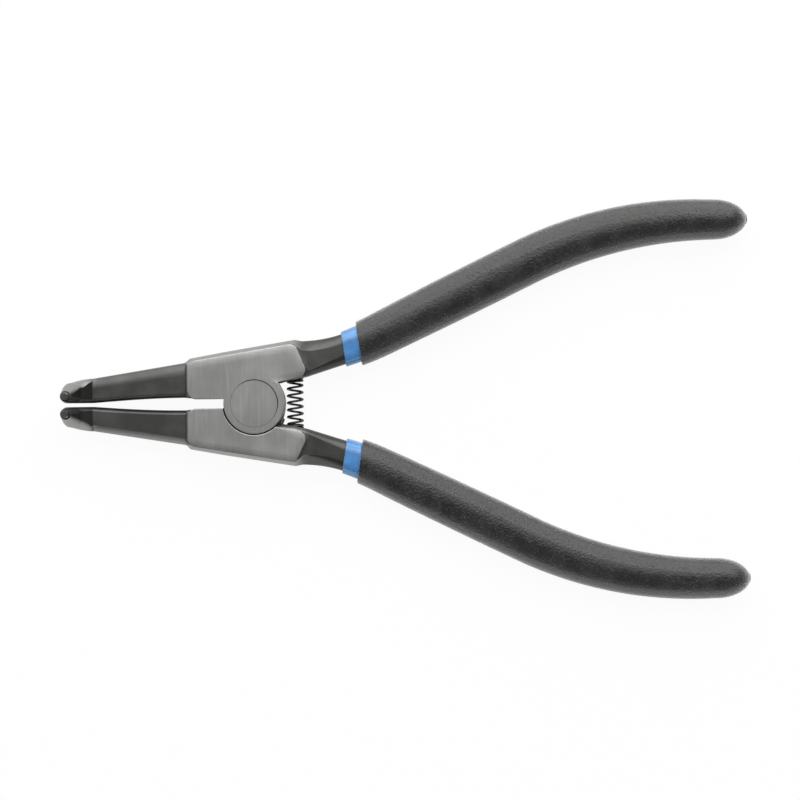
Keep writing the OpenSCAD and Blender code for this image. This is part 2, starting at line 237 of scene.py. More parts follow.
def vinylFinish():
    made, sheet, shader = newMaterial("blackVinyl")
    cells = sheet.node("ShaderNodeTexVoronoi", None, {
        "Vector": sheet.place(), "Scale": vinylLook["pebble"]})
    apart = sheet.wire(cells, "Distance")
    chance = sheet.out("ShaderNodeSeparateColor", None, {"Color": sheet.wire(cells, "Color")})
    pimple = (1 - sheet.step(apart, 0.1, 0.5)) * sheet.step(chance, 0.2, 0.8)   # only some cells stand up
    grain = sheet.noise(vinylLook["grain"], 2)
    patch = sheet.noise(vinylLook["patch"], 4)
    peel = 0.75 + 0.35 * sheet.step(patch, 0.42, 0.6)   # the orange peel comes and goes along the dip
    speck = (1 - sheet.step(apart, 0.05, 0.4)) * sheet.step(chance, 0.9, 0.94)   # a few stand well out
    wave = sheet.noise(vinylLook["wave"], 2)
    skin = (pimple * 0.45 + grain * 1.45) * peel + wave * 0.2 + speck * 1.2
    tone = sheet.step(skin + patch * 0.4, 0.5, 1.1)
    finishMaterial(sheet, shader, {
        "Base Color": sheet.blend(tone, vinylLook["dark"], vinylLook["pale"]),
        "Roughness": vinylLook["rough"] + 0.1 * grain + 0.04 * patch,
        "Normal": sheet.bump(skin, vinylLook["relief"] * mm),
        "Specular IOR Level": 0.36, "Coat Weight": 0.3, "Coat Roughness": 0.18,
        "Sheen Weight": 1.0, "Sheen Roughness": 0.45})
    return made


dipLook = {
    "deep": (0.055, 0.205, 0.475, 1), "clear": (0.09, 0.275, 0.59, 1),
    "cloud": 260, "ripple": 900, "rough": 0.2, "relief": 0.015}


def dipFinish():
    made, sheet, shader = newMaterial("blueDip")
    cloud = sheet.noise(dipLook["cloud"], 3)
    ripple = sheet.noise(dipLook["ripple"], 2)
    finishMaterial(sheet, shader, {
        "Base Color": sheet.blend(sheet.step(cloud, 0.3, 0.7), dipLook["deep"], dipLook["clear"]),
        "Roughness": dipLook["rough"] + 0.12 * ripple,
        "Normal": sheet.bump(ripple, dipLook["relief"] * mm),
        "Coat Weight": 0.4})
    return made


wireLook = {
    "dark": (0.02, 0.02, 0.02, 1), "pale": (0.07, 0.07, 0.068, 1),
    "cloud": 1400, "rough": 0.3, "relief": 0.01}


def springFinish():
    made, sheet, shader = newMaterial("oiledWire")
    cloud = sheet.noise(wireLook["cloud"], 3)
    finishMaterial(sheet, shader, {
        "Base Color": sheet.blend(cloud, wireLook["dark"], wireLook["pale"]),
        "Metallic": 0.7,
        "Roughness": wireLook["rough"] + 0.15 * cloud,
        "Normal": sheet.bump(cloud, wireLook["relief"] * mm)})
    return made


forged = forgedFinish()
ground = groundFinish("groundSteel", 0.0)
rivetSteel = groundFinish("rivetSteel", 0.12)
blackVinyl = vinylFinish()
blueDip = dipFinish()
oiledWire = springFinish()
print("finishes made")


# mesh helpers

crispAngle = 36                                # degrees between two faces, from which their edge is crisp
levelNormal = 0.9999                           # a face that looks this straight up or down is level
faceDepth = 0.02                               # and counts as ground this close to the top or underside
mergeDistance = 0.002


def shade(bm):                                 # flat ground faces, soft curves, crisp corners
    bmesh.ops.recalc_face_normals(bm, faces=bm.faces)
    for edge in bm.edges:
        edge.smooth = len(edge.link_faces) == 2 and edge.calc_face_angle() < math.radians(crispAngle)
    for face in bm.faces:
        level = abs(face.normal.z) > levelNormal
        depth = abs(face.calc_center_median().z / mm - mid)
        face.smooth = not (level and depth > thick / 2 - faceDepth)


def meshObject(name, bm, *materials):
    shade(bm)
    data = bpy.data.meshes.new(name)
    bm.to_mesh(data)
    bm.free()
    for material in materials:
        data.materials.append(material)
    made = bpy.data.objects.new(name, data)
    bpy.context.collection.objects.link(made)
    return made


def skinOver(bm, rows):                        # closed skin over rows of equal length
    count = len(rows[0])
    for a, b in zip(rows, rows[1:]):
        for k in range(count):
            bm.faces.new((a[k], a[(k + 1) % count], b[(k + 1) % count], b[k]))
    bm.faces.new(rows[0])
    bm.faces.new(rows[-1])


def loft(bm, rings):
    skinOver(bm, [[bm.verts.new(p * mm) for p in points] for points in rings])


def lathe(bm, profile, steps, centre=(0, 0)):  # profile of (radius, height), closed at both ends
    rows = []
    for radius, height in profile:
        rows.append([bm.verts.new(Vector((
            centre[0] + radius * math.cos(math.tau * k / steps),
            centre[1] + radius * math.sin(math.tau * k / steps), height)) * mm) for k in range(steps)])
    skinOver(bm, rows)


def bake(target):                              # applies the modifiers
    graph = bpy.context.evaluated_depsgraph_get()
    data = bpy.data.meshes.new_from_object(target.evaluated_get(graph))
    target.modifiers.clear()
    target.data = data


def cut(target, *tools, how="DIFFERENCE"):     # takes the tools' shapes out of the target
    for tool in tools:
        step = target.modifiers.new(tool.name, "BOOLEAN")
        step.operation = how
        step.solver = "MANIFOLD"
        step.object = tool
    bake(target)
    for tool in tools:
        bpy.data.objects.remove(tool)


def weld(target, *parts):                      # melts the parts into one closed skin
    cut(target, *parts, how="UNION")


def tidyMesh(target):                          # slivers that the cuts leave
    bm = bmesh.new()
    bm.from_mesh(target.data)
    bmesh.ops.remove_doubles(bm, verts=bm.verts, dist=mergeDistance * mm)
    bmesh.ops.dissolve_degenerate(bm, edges=bm.edges, dist=mergeDistance * mm)
    shade(bm)
    bm.to_mesh(target.data)
    bm.free()


def mirrored(target):                          # to the lower side of the tool
    bm = bmesh.new()
    bm.from_mesh(target.data)
    for vert in bm.verts:
        vert.co.y = -vert.co.y
    bmesh.ops.reverse_faces(bm, faces=bm.faces)
    bm.to_mesh(target.data)
    bm.free()


def ease(a, b, t):
    return a + (b - a) * (1 - math.cos(math.pi * t)) / 2


def clamp(value):
    return max(0, min(1, value))


def lerpRing(a, b, t):
    return [p.lerp(q, t) for p, q in zip(a, b)]


# a corner is its width, its height and its bulge: 0 is a flat bevel, 1 a full round
# six numbers give the underside a corner of its own

cornerSteps = 7
cornerHold = 0.12                              # points this far past a corner keep the faces flat
hair = 0.01                                    # two corners never quite meet


def mixCorner(a, b, t):
    return tuple(p + (q - p) * t for p, q in zip(a, b))


def ring(centre, u, v, halfU, halfV, outer, inner):
    fit = min(1, (2 * halfU - 2 * hair) / (outer[0] + inner[0]))
    holdU = min(cornerHold, (2 * halfU - fit * (outer[0] + inner[0])) / 3)
    points = []
    for quarter in range(4):
        su = 1 if quarter in (0, 3) else -1
        sv = 1 if quarter < 2 else -1
        shape = outer if su > 0 else inner
        wide, high, bulge = shape[-3:] if sv < 0 else shape[:3]
        wide, high = wide * fit, min(high, halfV - hair)
        holdV = min(cornerHold, (halfV - high) / 2)
        a, b = math.pi / 2 * quarter, math.pi / 2 * (quarter + 1)
        first, last = Vector((math.cos(a), math.sin(a))), Vector((math.cos(b), math.sin(b)))
        corner = []
        for k in range(cornerSteps + 1):
            t = k / cornerSteps
            arc = Vector((math.cos(a + (b - a) * t), math.sin(a + (b - a) * t)))
            spot = first.lerp(last, t).lerp(arc, bulge)
            corner.append(Vector((su * (halfU - wide) + wide * spot.x,
                                  sv * (halfV - high) + high * spot.y)))
        holds = [Vector((0, -sv * holdV)), Vector((-su * holdU, 0))]
        if quarter % 2:
            holds.reverse()
        corner = [corner[0] + holds[0], *corner, corner[-1] + holds[1]]
        points += [Vector(centre) + Vector(u) * p.x + Vector(v) * p.y for p in corner]
    return points


# the handle's centre line, shared by the levers and their coats

handle = {
    "start": (12.0, 10.5), "angle": 9.4, "shankRadius": 66.0, "straightAngle": 25.9,
    "straight": 38.6, "radius": 98.0, "tail": 10.8,
    "dipAngle": 8.5, "bandFrom": 9.6, "band": 3.9, "untwist": 14.0,
    "tangWidth": 8.25, "tangTaper": 0.9, "swellAt": 52.0, "tangThick": 5.8, "tangCorner": 2.3,
    "tangNose": 1.0, "step": 1.6, "oval": (0.95, 0.96),
    "undercoat": 0.55, "overcoat": 0.85, "gap": 0.06, "nose": 7.6, "cover": 5.0}
gripFrom = handle["bandFrom"] + handle["band"]
handleRuns = [                                 # length and bend of each stretch
    (handle["shankRadius"] * math.radians(handle["straightAngle"] - handle["angle"]),
     1 / handle["shankRadius"]),
    (handle["straight"], 0.0),
    (handle["radius"] * math.radians(handle["straightAngle"]), -1 / handle["radius"]),
    (handle["tail"], 0.0)]
handleLength = sum(run[0] for run in handleRuns)
tangEnd = handleLength - handle["cover"] - handle["undercoat"] - handle["overcoat"]
gripOffset = 2 * handle["gap"] + handle["undercoat"] + handle["overcoat"]


def handleAt(s):
    x, y = handle["start"]
    heading = math.radians(handle["angle"])
    for index, (length, bend) in enumerate(handleRuns):
        d = s if index == len(handleRuns) - 1 else min(s, length)
        if bend == 0:
            x, y = x + d * math.cos(heading), y + d * math.sin(heading)
        else:
            turned = heading + d * bend
            x += (math.sin(turned) - math.sin(heading)) / bend
            y -= (math.cos(turned) - math.cos(heading)) / bend
            heading = turned
        s -= d
        if s <= 0:
            break
    return x, y, heading


def handleRing(s, halfU, halfV, corner, inner=None):
    x, y, heading = handleAt(s)
    square = clamp((s - gripFrom) / handle["untwist"])   # the mouths of the coats lean with the dip
    dip = math.radians(handle["dipAngle"])
    lean = dip + (heading - dip) * square
    return ring((x, y, mid), (-math.sin(lean), math.cos(lean), 0), (0, 0, 1),
                halfU / math.cos(heading - lean), halfV, corner, inner or corner)


def ovalRing(s, halfU, halfV):
    return handleRing(s, halfU, halfV, (halfU * handle["oval"][0], halfV * handle["oval"][1], 1))


def tangHalf(s):
    away = (s - handle["swellAt"]) / (handle["swellAt"] - gripFrom)
    return (handle["tangWidth"] - handle["tangTaper"] * away * away) / 2


def coatRing(s, offset, oval=False):
    halfU, halfV = tangHalf(s) + offset, handle["tangThick"] / 2 + offset
    if oval:
        return ovalRing(s, halfU, halfV)
    r = handle["tangCorner"] + offset
    return handleRing(s, halfU, halfV, (r, r, 1))


def tangRings(start, offset):                  # along the tang, or a coat of it, and over its end
    less = handle["tangNose"] - offset
    last = tangEnd - handle["tangNose"]
    count = math.ceil((last - start) / handle["step"])
    rings = [coatRing(start + (last - start) * k / count, offset) for k in range(count + 1)]
    r = handle["tangCorner"] - less
    rings.append(handleRing(tangEnd + offset, tangHalf(tangEnd) - less, handle["tangThick"] / 2 - less,
                            (r, r, 1)))
    return rings


# levers: forging, ground block, lap and pin

lever = {
    "lapRadius": 7.3, "lapClearance": 0.25, "lapGap": 0.1, "jawGap": 2.2,
    "blockFront": 15.9, "blockBack": 13.2, "frontReach": 10.9, "backReach": 15.1, "backAngle": 41.0,
    "rim": 0.9, "padPast": 0.1, "padStep": 0.4, "padCorner": 2.1, "swell": 1.5,
    "neckAngle": 42.0, "upperNeck": 0.3, "lowerNeck": 0.8, "upperRim": 0.15, "lowerRim": 0.9,
    "armLength": 38.6, "rootReach": 9.8, "endReach": 6.3, "relief": 1.5, "tipGap": 0.9,
    "endThick": 5.0, "bendRadius": 4.95, "stemWidth": 4.8, "stemThick": 4.7,
    "taper": 5.0, "shoulder": 1.3, "pinOffset": 2.1, "pinLead": 0.65,
    "pinRadius": 0.9, "pinLength": 3.0, "pinEdge": 0.12, "pinRoot": 1.0,
    "shankWidth": 8.6, "tuck": 0.25, "rootStep": 0.3, "rootFrom": 0.45, "rootRun": 0.35,
    "edge": 0.14, "pillow": 0.08, "flare": 0.4, "flareAt": 0.03, "flareEnd": 0.4,
    "sunk": 0.03, "hollowRoom": 0.2, "boreRoom": 0.1, "pocketRadius": 2.25, "seat": 6.3}
rivet = {
    "head": (rivetHigh.x - rivetLow.x) / 2 / mm, "shank": 3.2, "rim": 0.5, "cone": 1.6,
    "running": 0.02, "edge": 0.02}

# the upper arm is the rounder one, with the wider facet in its bend
upperBevels = {
    "root": (2.9, 1.3, 1.0), "end": (2.3, 1.3, 0.95),
    "facet": (0.8, 1.2, 0.3, 1.7, 2.2, 0.5), "stem": (1.1, 2.05, 0.4, 2.9, 2.05, 0.85)}
lowerBevels = {
    "root": (1.6, 2.9, 0.3), "end": (1.5, 2.2, 0.3),
    "facet": (1.3, 1.2, 0.3, 1.7, 2.2, 0.5), "stem": (1.65, 2.05, 0.4, 2.9, 2.05, 0.85)}
blockBevel, shankBevel = (1.0, 2.6, 0.45), (2.4, 2.7, 0.1)
innerBevel, stemInner = (0.9, 1.4, 0.5), (1.2, 1.4, 0.8)

fineness = {                                   # how many steps in each, but degrees in the bend
    "taper": 6, "bend": 5, "arm": 18, "swell": 9, "shank": 10, "lap": 96, "hollow": 48, "padCorner": 10,
    "edge": 4, "turned": 128, "pocket": 64, "pin": 40}
blank = thick / 2 - lever["padStep"]
reachSlope = (lever["backReach"] - lever["frontReach"]) / (lever["blockFront"] + springX)
toolPast = 1.0                                 # cutting tools reach this far past the faces
roundMiddle = 0.3                              # share of a small rounded edge at its middle


def backEdge(x):
    a = math.radians(lever["backAngle"])
    x0, y0 = lever["lapRadius"] * math.cos(a), lever["lapRadius"] * math.sin(a)
    y1 = handle["start"][1] - lever["shankWidth"] / 2
    return y0 + (y1 - y0) * (x - x0) / (lever["blockBack"] - x0)


def slab(x, inner, outer, half, bevel):
    return ring((x, (inner + outer) / 2, mid), (0, 1, 0), (0, 0, 1), (outer - inner) / 2, half,
                bevel, innerBevel)


def tipRings(armBevels):                       # from the pin's shoulder down the taper and round the bend
    tipIn = lever["tipGap"] / 2
    stemX = -lever["armLength"] - lever["bendRadius"]
    stemZ = mid + lever["bendRadius"]
    r = lever["shoulder"]
    shoulderRing = ring((stemX - lever["pinLead"], lever["pinOffset"], stemZ + lever["taper"]),
                        (0, 1, 0), (1, 0, 0), r, r, (r, r, 1), (r, r, 1))
    inStart = lever["bendRadius"] - lever["endThick"] / 2
    inEnd = lever["bendRadius"] - lever["stemThick"] / 2

    def bent(turn):                            # round on the outside, one flat facet inside
        t = turn / 90
        a = math.radians(turn)
        outer = ease(lever["endReach"], tipIn + lever["stemWidth"], t)
        far = lever["bendRadius"] + ease(lever["endThick"], lever["stemThick"], t) / 2
        near = 1 / (math.cos(a) / inStart + math.sin(a) / inEnd)
        centre = (far + near) / 2
        return ring((-lever["armLength"] - centre * math.sin(a), (tipIn + outer) / 2,
                     mid + lever["bendRadius"] - centre * math.cos(a)),
                    (0, 1, 0), (math.sin(a), 0, math.cos(a)), (outer - tipIn) / 2, (far - near) / 2,
                    mixCorner(armBevels["facet"], armBevels["stem"], t) if turn else armBevels["end"],
                    mixCorner(innerBevel, stemInner, t))

    rings = [lerpRing(shoulderRing, bent(90), k / fineness["taper"]) for k in range(fineness["taper"])]
    return rings + [bent(turn) for turn in range(90, -1, -fineness["bend"])]


def forgingRings(armBevels):
    rings = tipRings(armBevels)
    # arm, then the step and the swell into the block
    tipIn = lever["tipGap"] / 2
    armBack = lever["blockFront"] + lever["swell"] / 2
    root = blank - lever["rootStep"]
    for k in range(1, fineness["arm"] + 1):
        t = k / fineness["arm"]
        rings.append(slab(-lever["armLength"] + (lever["armLength"] - armBack) * t,
                          tipIn + (lever["relief"] - tipIn) * math.sin(math.pi / 2 * t),
                          lever["endReach"] + (lever["rootReach"] - lever["endReach"]) * t,
                          lever["endThick"] / 2 + (root - lever["endThick"] / 2) * t,
                          mixCorner(armBevels["end"], armBevels["root"], t)))
    jaw = lever["jawGap"] / 2 + lever["tuck"]
    blockX = -lever["blockFront"] + lever["swell"] / 2
    for k in range(1, fineness["swell"] + 1):
        t = k / fineness["swell"]
        x = -armBack + (blockX + armBack) * t
        climb = clamp((x + lever["blockFront"] + lever["rootFrom"]) / lever["rootRun"])
        rings.append(slab(x, ease(lever["relief"], jaw, t),
                          ease(lever["rootReach"], lever["frontReach"], t),
                          root + (blank - root) * climb, mixCorner(armBevels["root"], blockBevel, t)))
    lapX = lever["lapRadius"] * math.cos(math.radians(lever["backAngle"]))
    for x, inner in ((-lever["lapRadius"], jaw), (lapX, backEdge(lapX)), (springX, backEdge(springX))):
        rings.append(slab(x, inner, lever["frontReach"] + reachSlope * (x + lever["blockFront"]), blank,
                          blockBevel))
    # shank, and the tang inside the grip
    r = handle["tangCorner"]
    for k in range(fineness["shank"]):
        t = k / fineness["shank"]
        lost = (1 - t) * (1 - t)
        rings.append(handleRing(
            handle["bandFrom"] * t,
            lever["shankWidth"] / 2 * lost + tangHalf(handle["bandFrom"]) * (1 - lost),
            ease(blank, handle["tangThick"] / 2, t),
            mixCorner(shankBevel, (r, r, 1), t), mixCorner(innerBevel, (r, r, 1), t)))
    return rings + tangRings(handle["bandFrom"], 0)


def padCorner(before, corner, after):
    p, a, b = Vector(corner), Vector(before), Vector(after)
    toA, toB = (a - p).normalized(), (b - p).normalized()
    half = math.acos(toA.dot(toB)) / 2
    radius = lever["padCorner"]
    centre = p + (toA + toB).normalized() * radius / math.sin(half)
    start = p + toA * radius / math.tan(half) - centre
    first = math.atan2(start.y, start.x)
    side = 1 if toA.cross(toB) < 0 else -1
    sweep = side * (math.pi - 2 * half)
    angles = [first + sweep * k / fineness["padCorner"] for k in range(fineness["padCorner"] + 1)]
    return [centre + Vector((math.cos(angle), math.sin(angle))) * radius for angle in angles]


searches = 40                                  # halvings of the way to where two edges meet


def blockOutline(rim, radius, neck, isLap):    # the lap goes round the disc, the hollow cuts behind it
    jaw = lever["jawGap"] / 2
    front = -lever["blockFront"]
    outer = lever["frontReach"] - lever["rim"]
    outerX = springX + lever["padPast"]
    frontTop, frontJaw, jawEnd = (front, outer), (front, jaw), (-radius, jaw)
    backCorner = (lever["blockBack"], backEdge(lever["blockBack"]) + rim)
    topCorner = (outerX, outer + reachSlope * (outerX + lever["blockFront"]))
    # where the edge beside the spring meets the circle
    low, high = 0.0, lever["blockBack"]
    for _ in range(searches):
        x = (low + high) / 2
        low, high = (low, x) if math.hypot(x, backEdge(x) + rim) > radius + neck else (x, high)
    meet = math.atan2(backEdge(low) + rim, low)
    leave = math.pi - math.asin(jaw / radius)
    sweep = (math.tau + meet - leave) if isLap else (meet - leave)
    count = fineness["lap"] if isLap else fineness["hollow"]
    points = padCorner(frontTop, frontJaw, jawEnd)
    for k in range(count + 1):
        a = leave + sweep * k / count
        beside = math.tau + meet - a           # the disc swells a little into its neck
        swell = max(0, 1 - beside / math.radians(lever["neckAngle"])) ** 2 * neck
        points.append(Vector((math.cos(a), math.sin(a))) * (radius + swell))
    points += padCorner((low, backEdge(low) + rim), backCorner, topCorner)
    points += padCorner(backCorner, topCorner, frontTop)
    points += padCorner(topCorner, frontTop, frontJaw)
    return points


sharpest = 0.5                                 # keeps the points of sharp corners from running far out


def inset(points, amounts):
    moved = []
    for k, (p, amount) in enumerate(zip(points, amounts)):
        a, b = points[k - 1], points[(k + 1) % len(points)]
        na, nb = (p - a).normalized(), (b - p).normalized()
        normal = Vector((-na.y - nb.y, na.x + nb.x))
        moved.append(p + normal.normalized() * amount / max(sharpest, normal.length / 2))
    return moved


# the ground face falls off to its outer edges: distance from the edge, and how far down
faceFall = ((1.5, 0.0), (0.95, 0.012), (0.5, 0.036), (0.2, 0.062))
discFall = 0.08                                # share of that on the disc and along the jaw
discRoom = 0.05                                # points this close to the disc belong to it
endLean = (0.5, 0.8)                           # edges that face the arm or the shank run out into it


def blockHalf(name, outline, low, high, faceUp, hole):
    bm = bmesh.new()
    edge = lever["edge"]
    # how far in, how far down and how much flare, from the ground face on
    levels = [(edge + far, down, 0) for far, down in faceFall]
    for k in range(fineness["edge"] + 1):
        a = math.pi / 2 * k / fineness["edge"]
        levels.append((edge * (1 - math.sin(a)), lever["pillow"] + edge * (1 - math.cos(a)), 0))
    levels += [(0, lever["padStep"] + lever["flareAt"], 1), (0, lever["padStep"] + lever["flareEnd"], 0),
               (0, high - low, 0)]
    spread = inset(outline, [-lever["flare"]] * len(outline))
    shares, soft = [], []
    for near, far in zip(outline, spread):
        lean = abs((far - near).normalized().x)
        onDisc = near.length < lever["lapRadius"] + lever["lapClearance"] + discRoom
        runsOut = not onDisc and near.y >= lever["jawGap"]
        shares.append(clamp((lean - endLean[0]) / (endLean[1] - endLean[0])) if runsOut else 0)
        soft.append(discFall if onDisc or near.y < lever["jawGap"] + lever["padCorner"] else 1)
    rows = []
    for out, down, foot in levels:
        moved = inset(outline, [min(out, edge) + max(0, out - edge) * give for give in soft])
        row = []
        for p, far, share, give in zip(moved, spread, shares, soft):
            fall = down
            if down < lever["padStep"]:
                fall = down * give + max(0, down - lever["pillow"]) * (1 - give)
            z = high - fall if faceUp else low + fall
            row.append(bm.verts.new((p.lerp(far, share * foot) * mm).to_3d() + Vector((0, 0, z * mm))))
        rows.append(row)
    skinOver(bm, rows)
    made = meshObject(name, bm, forged, ground)
    if hole:
        cut(made, hole)
    return made


def hollowTool(radius, low, high):
    bm = bmesh.new()
    lathe(bm, [(radius, low), (radius, high)], fineness["turned"])
    return meshObject("hollowTool", bm)


def rivetTool(clearance):
    bm = bmesh.new()
    head, shank = rivet["head"] + clearance, rivet["shank"] + clearance
    mouth = head + rivet["edge"]
    deep = rivet["rim"] + rivet["cone"]
    lathe(bm, [(mouth + toolPast, -toolPast), (mouth, 0), (head, rivet["edge"]), (head, rivet["rim"]),
               (shank, deep), (shank, thick - deep), (head, thick - rivet["rim"]),
               (head, thick - rivet["edge"]), (mouth, thick), (mouth + toolPast, thick + toolPast)],
          fineness["turned"])
    return meshObject("rivetTool", bm)


def pocketTool():                              # a bore along the spring
    bm = bmesh.new()
    lathe(bm, [(lever["pocketRadius"], 0), (lever["pocketRadius"], lever["seat"])], fineness["pocket"])
    for vert in bm.verts:
        x, y, z = vert.co
        vert.co = (x + springX * mm, z, mid * mm - y)
    return meshObject("pocketTool", bm)


def makePin():
    bm = bmesh.new()
    r, edge = lever["pinRadius"], lever["pinEdge"]
    foot = mid + lever["bendRadius"] + lever["taper"]
    top = foot + lever["pinLength"]
    tipX = -lever["armLength"] - lever["bendRadius"] - lever["pinLead"]
    lathe(bm, [(r, foot - lever["pinRoot"]), (r, top - edge),
               (r - edge * roundMiddle, top - edge * roundMiddle), (r - edge, top)],
          fineness["pin"], (tipX, lever["pinOffset"]))
    return meshObject("pin", bm, forged, ground)


# where the black skin shows bare steel, partly worn and partly a painted highlight: how far, and over which
# stretch it comes in
wearAndHighlightSpots = {
    "side": 0.7, "sideFacing": (0.68, 1.0), "sideBack": (-12.5, -10.0),
    "tip": 0.75, "tipStart": (37.0, 40.5), "tipFacing": (0.3, 0.8), "tipForward": 0.9,
    "inner": 0.2, "innerFacing": (0.3, 0.6),
    "rim": 0.85, "rimFront": (-16.3, -15.9), "rimBack": (-10.5, -9.5), "rimPastLap": (1.2, 1.8)}


def comesIn(value, stretch):
    t = clamp((value - stretch[0]) / (stretch[1] - stretch[0]))
    return t * t * (3 - 2 * t)


def paintWearAndHighlight(piece):                         # sides, tips and the rim of the block turn bare: partly real wear, partly a painted highlight where they face the lamps and floor
    wearAndHighlight = piece.data.attributes.new("wearAndHighlight", "FLOAT", "CORNER")
    normals = [normal.vector.copy() for normal in piece.data.corner_normals]
    for loop, normal, spot in zip(piece.data.loops, normals, wearAndHighlight.data):
        x, y = piece.data.vertices[loop.vertex_index].co.xy / mm
        side = comesIn(normal.y, wearAndHighlightSpots["sideFacing"]) * comesIn(-x, wearAndHighlightSpots["sideBack"])   # not the shank
        outward = comesIn(max(normal.y, -wearAndHighlightSpots["tipForward"] * normal.x), wearAndHighlightSpots["tipFacing"])
        inward = wearAndHighlightSpots["inner"] * comesIn(-normal.y, wearAndHighlightSpots["innerFacing"])
        tip = comesIn(-x, wearAndHighlightSpots["tipStart"]) * max(outward, inward)
        rim = comesIn(x, wearAndHighlightSpots["rimFront"]) * comesIn(-x, wearAndHighlightSpots["rimBack"])
        rim *= comesIn(math.hypot(x, y) - lever["lapRadius"], wearAndHighlightSpots["rimPastLap"])
        # outward sides, tips and the block rim get a painted highlight here, besides real wear
        spot.value = max(wearAndHighlightSpots["side"] * side, wearAndHighlightSpots["tip"] * tip, wearAndHighlightSpots["rim"] * rim)


brightEdge = 0.85                              # share of the block's rounded edge that is ground bright


def makeLever(name, lapOnTop, rim, neck, armBevels):
    over, under = mid + lever["lapGap"] / 2, mid - lever["lapGap"] / 2
    lapLow, lapHigh = (over, thick) if lapOnTop else (0, under)
    hollowLow, hollowHigh = (0, over) if lapOnTop else (under, thick)
    # the forging stays a hair behind the faces of the block
    toolLow = hollowLow - (toolPast if lapOnTop else lever["sunk"])
    toolHigh = hollowHigh + (lever["sunk"] if lapOnTop else toolPast)
    hollow = lever["lapRadius"] + lever["lapClearance"]
    bm = bmesh.new()
    loft(bm, forgingRings(armBevels))
    made = meshObject(name, bm, forged, ground)
    cut(made, hollowTool(hollow + lever["hollowRoom"], toolLow, toolHigh),
        rivetTool(rivet["running"] + lever["boreRoom"]))
    lapHalf = blockHalf("lapHalf", blockOutline(rim, lever["lapRadius"], neck, True), lapLow, lapHigh,
                        lapOnTop, rivetTool(rivet["running"]))
    hollowHalf = blockHalf("hollowHalf", blockOutline(rim, hollow, 0, False), hollowLow, hollowHigh,
                           not lapOnTop, None)
    # ground faces and their edges are bright, the rest keeps the black skin
    brightFrom = thick / 2 - lever["edge"] * brightEdge
    for part in (lapHalf, hollowHalf):
        for face in part.data.polygons:
            face.material_index = int(abs(face.center.z / mm - mid) > brightFrom)
    weld(made, lapHalf, hollowHalf, makePin())
    cut(made, pocketTool())
    tidyMesh(made)
    paintWearAndHighlight(made)
    return made


upperLever = makeLever("upperLeverSteel", True, lever["upperRim"], lever["upperNeck"], upperBevels)
lowerLever = makeLever("lowerLeverSteel", False, lever["lowerRim"], lever["lowerNeck"], lowerBevels)
mirrored(lowerLever)
for piece, body, node in ((upperLever, upperBody, "upper_lever"), (lowerLever, lowerBody, "lower_lever")):
    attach(piece, body)
    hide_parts(node)
print("levers made")


# rivet, flush on both faces

def makeRivet():
    bm = bmesh.new()
    head, shank, edge = rivet["head"], rivet["shank"], rivet["edge"]
    deep = rivet["rim"] + rivet["cone"]
    middle = edge * roundMiddle
    lathe(bm, [(head - edge, 0), (head - middle, middle), (head, edge), (head, rivet["rim"]),
               (shank, deep), (shank, thick - deep), (head, thick - rivet["rim"]), (head, thick - edge),
               (head - middle, thick - middle), (head - edge, thick)], fineness["turned"])
    return meshObject("jointRivetSteel", bm, rivetSteel)


rivetPiece = makeRivet()
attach(rivetPiece, lowerBody)
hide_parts("joint_rivet")
print("rivet made")


# dipped coats

coat = {
    "lip": 0.28, "lipSteps": 8, "noseRound": 5.6, "noseShort": 0.2, "noseTurn": 72, "noseStep": 6,
    "dripFoot": 0.06, "drip": 0.43, "dripRadius": 1.22, "dripTurn": 80, "dripStep": 16}


def coatRings(start, inner, outer, oval):      # a sleeve, from its inside over the mouth to the outside
    lip = coat["lip"]
    middle = (inner + outer) / 2
    half = (outer - inner) / 2
    rings = tangRings(start + handle["step"], inner)[::-1]
    for k in range(coat["lipSteps"] + 1):
        a = math.pi * k / coat["lipSteps"]
        outside = k > coat["lipSteps"] / 2
        rings.append(coatRing(start + lip * (1 - math.sin(a)), middle - half * math.cos(a), oval and outside))
    if not oval:
        return rings + tangRings(start + handle["step"], outer)
    end = handleLength - handle["nose"]
    count = int((end - start) / handle["step"])
    for k in range(1, count):
        rings.append(coatRing(start + lip + (end - start - lip) * k / count, outer, True))
    return rings + noseRings(end, outer)


def noseRings(end, outer):                     # an ellipse from above, a quarter round from the side
    rings = []
    wide = handle["tangThick"] / 2 + outer
    reach = handle["nose"] - coat["noseShort"]
    for turn in range(0, coat["noseTurn"] + 1, coat["noseStep"]):
        a = math.radians(turn)
        s = end + reach * math.sin(a)
        over = max(0, 1 - (end + reach - s) / coat["noseRound"])
        rings.append(ovalRing(s, (tangHalf(s) + outer) * math.cos(a), wide * math.sqrt(1 - over * over)))
    foot = s + coat["dripFoot"]
    for turn in range(0, coat["dripTurn"] + 1, coat["dripStep"]):   # the last drop set as a small drip
        a = math.radians(turn)
        r = coat["dripRadius"] * math.cos(a)
        rings.append(ovalRing(foot + coat["drip"] * math.sin(a), r, r))
    return rings


def makeCoat(name, material, start, inner, outer, lower):
    bm = bmesh.new()
    loft(bm, coatRings(start, inner, outer, material is blackVinyl))
    made = meshObject(name, bm, material)
    if lower:
        mirrored(made)
    return made


underOuter = handle["gap"] + handle["undercoat"]
for side, body in (("upper", upperBody), ("lower", lowerBody)):
    under = makeCoat(side + "BlueDip", blueDip, handle["bandFrom"], handle["gap"], underOuter,
                     side == "lower")
    grip = makeCoat(side + "BlackGrip", blackVinyl, gripFrom, underOuter + handle["gap"], gripOffset,
                    side == "lower")
    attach(under, body)
    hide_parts(side + "_undercoat")
    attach(grip, body)
    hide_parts(side + "_grip")
print("coats made")


# return spring, a rule in Geometry Nodes

